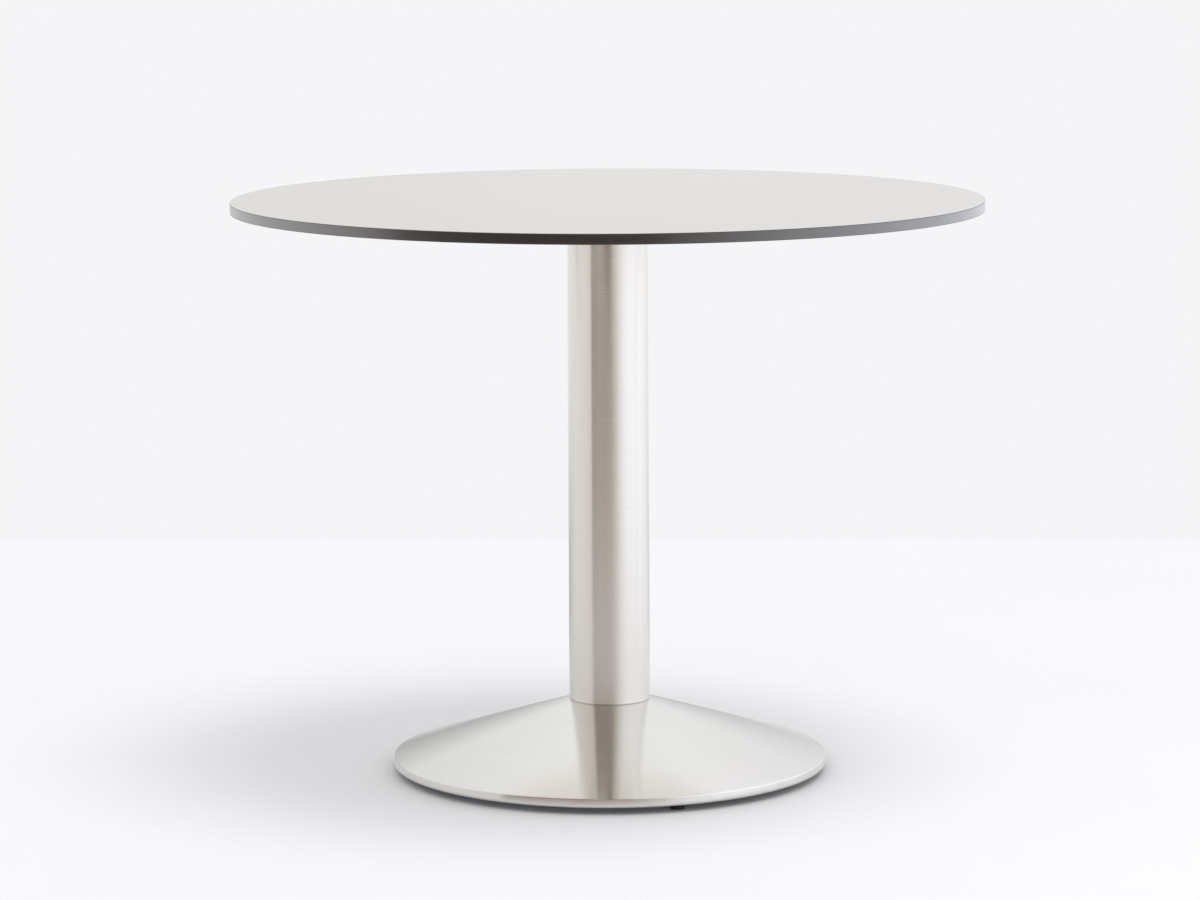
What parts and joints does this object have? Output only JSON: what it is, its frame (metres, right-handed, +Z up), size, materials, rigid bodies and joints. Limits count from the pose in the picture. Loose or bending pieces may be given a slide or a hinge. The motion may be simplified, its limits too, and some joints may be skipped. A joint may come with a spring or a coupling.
{
  "type": "bistro table",
  "caption": "Round bistro table with a thin laminate top on one brushed steel column, a weighted conical base and screw-adjusted levelling feet.",
  "frame": {"origin": "on the floor under the column's axis", "axes": "+Z up along the column; -Y towards the side seen in the picture, +X to its right"},
  "size_m": [0.96, 0.96, 0.74],
  "materials": {
    "grey_decor": "satin",
    "black_core": "matte",
    "brass_insert": "satin",
    "zinc_steel": "satin",
    "black_paint": "matte",
    "brushed_stainless": "satin",
    "cast_iron": "matte",
    "black_nylon": "matte"
  },
  "bodies": {
    "table": {"top_decor_sheet": "grey_decor", "tabletop_core": "black_core", "underside_decor_sheet": "grey_decor", "threaded_insert_1": "brass_insert", "threaded_insert_2": "brass_insert", "threaded_insert_3": "brass_insert", "threaded_insert_4": "brass_insert", "threaded_insert_5": "brass_insert", "threaded_insert_6": "brass_insert", "threaded_insert_7": "brass_insert", "threaded_insert_8": "brass_insert", "top_screw_1": "zinc_steel", "top_screw_2": "zinc_steel", "top_screw_3": "zinc_steel", "top_screw_4": "zinc_steel", "top_screw_5": "zinc_steel", "top_screw_6": "zinc_steel", "top_screw_7": "zinc_steel", "top_screw_8": "zinc_steel", "hub_plate": "black_paint", "support_arm_1": "black_paint", "support_arm_2": "black_paint", "support_arm_3": "black_paint", "support_arm_4": "black_paint", "upper_centring_disc": "zinc_steel", "anchor_nut": "zinc_steel", "column_tube": "brushed_stainless", "lower_centring_disc": "zinc_steel", "tie_rod": "zinc_steel", "tie_rod_washer": "zinc_steel", "tie_rod_nut": "zinc_steel", "base_cover": "brushed_stainless", "ballast_plate": "cast_iron"},
    "foot_1": {"levelling_pad_1": "black_nylon"},
    "stud_1": {"levelling_stud_1": "zinc_steel"},
    "foot_2": {"levelling_pad_2": "black_nylon"},
    "stud_2": {"levelling_stud_2": "zinc_steel"},
    "foot_3": {"levelling_pad_3": "black_nylon"},
    "stud_3": {"levelling_stud_3": "zinc_steel"},
    "foot_4": {"levelling_pad_4": "black_nylon"},
    "stud_4": {"levelling_stud_4": "zinc_steel"}
  },
  "joints": [
    {"name": "foot_1_height", "type": "slide", "parent": "table", "child": "foot_1", "axis": [0, 0, -1], "range_m": [0, 0.008]},
    {"name": "stud_1_turn", "type": "hinge", "parent": "foot_1", "child": "stud_1", "pos_m": [0.08302, -0.24111, 0], "axis": [0, 0, -1], "range_deg": [0, 2304]},
    {"name": "foot_2_height", "type": "slide", "parent": "table", "child": "foot_2", "axis": [0, 0, -1], "range_m": [0, 0.008]},
    {"name": "stud_2_turn", "type": "hinge", "parent": "foot_2", "child": "stud_2", "pos_m": [0.24111, 0.08302, 0], "axis": [0, 0, -1], "range_deg": [0, 2304]},
    {"name": "foot_3_height", "type": "slide", "parent": "table", "child": "foot_3", "axis": [0, 0, -1], "range_m": [0, 0.008]},
    {"name": "stud_3_turn", "type": "hinge", "parent": "foot_3", "child": "stud_3", "pos_m": [-0.08302, 0.24111, 0], "axis": [0, 0, -1], "range_deg": [0, 2304]},
    {"name": "foot_4_height", "type": "slide", "parent": "table", "child": "foot_4", "axis": [0, 0, -1], "range_m": [0, 0.008]},
    {"name": "stud_4_turn", "type": "hinge", "parent": "foot_4", "child": "stud_4", "pos_m": [-0.24111, -0.08302, 0], "axis": [0, 0, -1], "range_deg": [0, 2304]}
  ],
  "couplings": [
    {"joint": "foot_1_height", "follows": "stud_1_turn", "m_per_rad": 0.00019894},
    {"joint": "foot_2_height", "follows": "stud_2_turn", "m_per_rad": 0.00019894},
    {"joint": "foot_3_height", "follows": "stud_3_turn", "m_per_rad": 0.00019894},
    {"joint": "foot_4_height", "follows": "stud_4_turn", "m_per_rad": 0.00019894}
  ]
}
